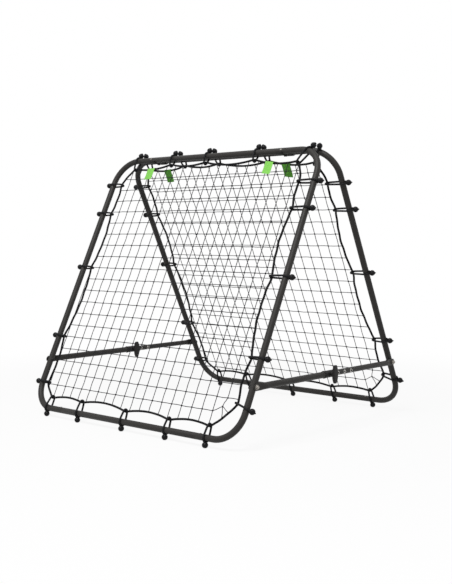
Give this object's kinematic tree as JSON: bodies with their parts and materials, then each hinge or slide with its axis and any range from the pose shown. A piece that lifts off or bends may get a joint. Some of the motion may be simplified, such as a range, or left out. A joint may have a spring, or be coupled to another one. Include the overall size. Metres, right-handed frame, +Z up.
{
  "type": "soccer rebounder",
  "caption": "A-shaped folding rebounder: two netted tube frames hinged at the top, hooked nets on ball bungees, and telescopic spreader bars with wing knobs.",
  "frame": {"origin": "on the ground, below the middle of the top tubes", "axes": "+X along the top tubes to the right, +Y from the front frame to the rear frame, +Z up"},
  "size_m": [1.0239, 0.934, 0.9421],
  "materials": {
    "powder_coated_steel": "dark grey powder coat, satin",
    "net_twine": "knotted black twine with a woven border cord",
    "bungee_black": "black plastic ball on black elastic cord",
    "black_plastic": "moulded black plastic, fine grain",
    "bright_metal": "zinc-plated bolts, nuts and screws",
    "green_cloth": "bright green woven cloth tabs"
  },
  "bodies": {
    "front_frame": {"front_tube_left": "powder_coated_steel", "front_tube_right": "powder_coated_steel", "front_tube_bottom": "powder_coated_steel", "front_tube_top": "powder_coated_steel", "front_net": "net_twine", "front_bungee_bottom_1": "bungee_black", "front_bungee_bottom_2": "bungee_black", "front_bungee_bottom_3": "bungee_black", "front_bungee_bottom_4": "bungee_black", "front_bungee_bottom_5": "bungee_black", "front_bungee_top_1": "bungee_black", "front_bungee_top_2": "bungee_black", "front_bungee_top_3": "bungee_black", "front_bungee_top_4": "bungee_black", "front_bungee_top_5": "bungee_black", "front_bungee_left_1": "bungee_black", "front_bungee_left_2": "bungee_black", "front_bungee_left_3": "bungee_black", "front_bungee_left_4": "bungee_black", "front_bungee_left_5": "bungee_black", "front_bungee_right_1": "bungee_black", "front_bungee_right_2": "bungee_black", "front_bungee_right_3": "bungee_black", "front_bungee_right_4": "bungee_black", "front_bungee_right_5": "bungee_black", "hinge_clip_left": "black_plastic", "hinge_clip_right": "black_plastic"},
    "rear_frame": {"rear_tube_left": "powder_coated_steel", "rear_tube_right": "powder_coated_steel", "rear_tube_bottom": "powder_coated_steel", "rear_tube_top": "powder_coated_steel", "rear_net": "net_twine", "rear_bungee_bottom_1": "bungee_black", "rear_bungee_bottom_2": "bungee_black", "rear_bungee_bottom_3": "bungee_black", "rear_bungee_bottom_4": "bungee_black", "rear_bungee_bottom_5": "bungee_black", "rear_bungee_top_1": "bungee_black", "rear_bungee_top_2": "bungee_black", "rear_bungee_top_3": "bungee_black", "rear_bungee_top_4": "bungee_black", "rear_bungee_top_5": "bungee_black", "rear_bungee_left_1": "bungee_black", "rear_bungee_left_2": "bungee_black", "rear_bungee_left_3": "bungee_black", "rear_bungee_left_4": "bungee_black", "rear_bungee_left_5": "bungee_black", "rear_bungee_right_1": "bungee_black", "rear_bungee_right_2": "bungee_black", "rear_bungee_right_3": "bungee_black", "rear_bungee_right_4": "bungee_black", "rear_bungee_right_5": "bungee_black"},
    "bar_left_outer": {"bar_left_outer": "powder_coated_steel", "bar_left_collar": "black_plastic"},
    "bar_left_inner": {"bar_left_inner": "powder_coated_steel"},
    "bar_left_knob": {"bar_left_knob": "black_plastic"},
    "bar_right_outer": {"bar_right_outer": "powder_coated_steel", "bar_right_collar": "black_plastic"},
    "bar_right_inner": {"bar_right_inner": "powder_coated_steel"},
    "bar_right_knob": {"bar_right_knob": "black_plastic"}
  },
  "joints": [
    {"name": "fold", "type": "hinge", "parent": "front_frame", "child": "rear_frame", "pos_m": [0, 0.0258, 0.9111], "axis": [-1, 0, 0], "range_deg": [0, 8.85]},
    {"name": "bar_left_swing", "type": "hinge", "parent": "front_frame", "child": "bar_left_outer", "pos_m": [-0.48735, -0.37494, 0.18684], "axis": [-1, 0, 0], "range_deg": [0, 4.08]},
    {"name": "bar_left_slide", "type": "slide", "parent": "bar_left_outer", "child": "bar_left_inner", "axis": [0, -1, 0], "range_m": [0, 0.11364]},
    {"name": "bar_left_knob_turn", "type": "hinge", "parent": "bar_left_outer", "child": "bar_left_knob", "pos_m": [-0.48735, 0.03706, 0.18684], "axis": [1, 0, 0], "continuous": true},
    {"name": "bar_right_swing", "type": "hinge", "parent": "front_frame", "child": "bar_right_outer", "pos_m": [0.48735, -0.37494, 0.18684], "axis": [-1, 0, 0], "range_deg": [0, 4.08]},
    {"name": "bar_right_slide", "type": "slide", "parent": "bar_right_outer", "child": "bar_right_inner", "axis": [0, -1, 0], "range_m": [0, 0.11364]},
    {"name": "bar_right_knob_turn", "type": "hinge", "parent": "bar_right_outer", "child": "bar_right_knob", "pos_m": [0.48735, -0.00594, 0.18684], "axis": [1, 0, 0], "continuous": true}
  ],
  "couplings": [
    {"joint": "bar_left_swing", "follows": "fold", "ratio": 0.46075},
    {"joint": "bar_left_slide", "follows": "fold", "m_per_rad": 0.73566},
    {"joint": "bar_right_swing", "follows": "fold", "ratio": 0.46075},
    {"joint": "bar_right_slide", "follows": "fold", "m_per_rad": 0.73566}
  ]
}
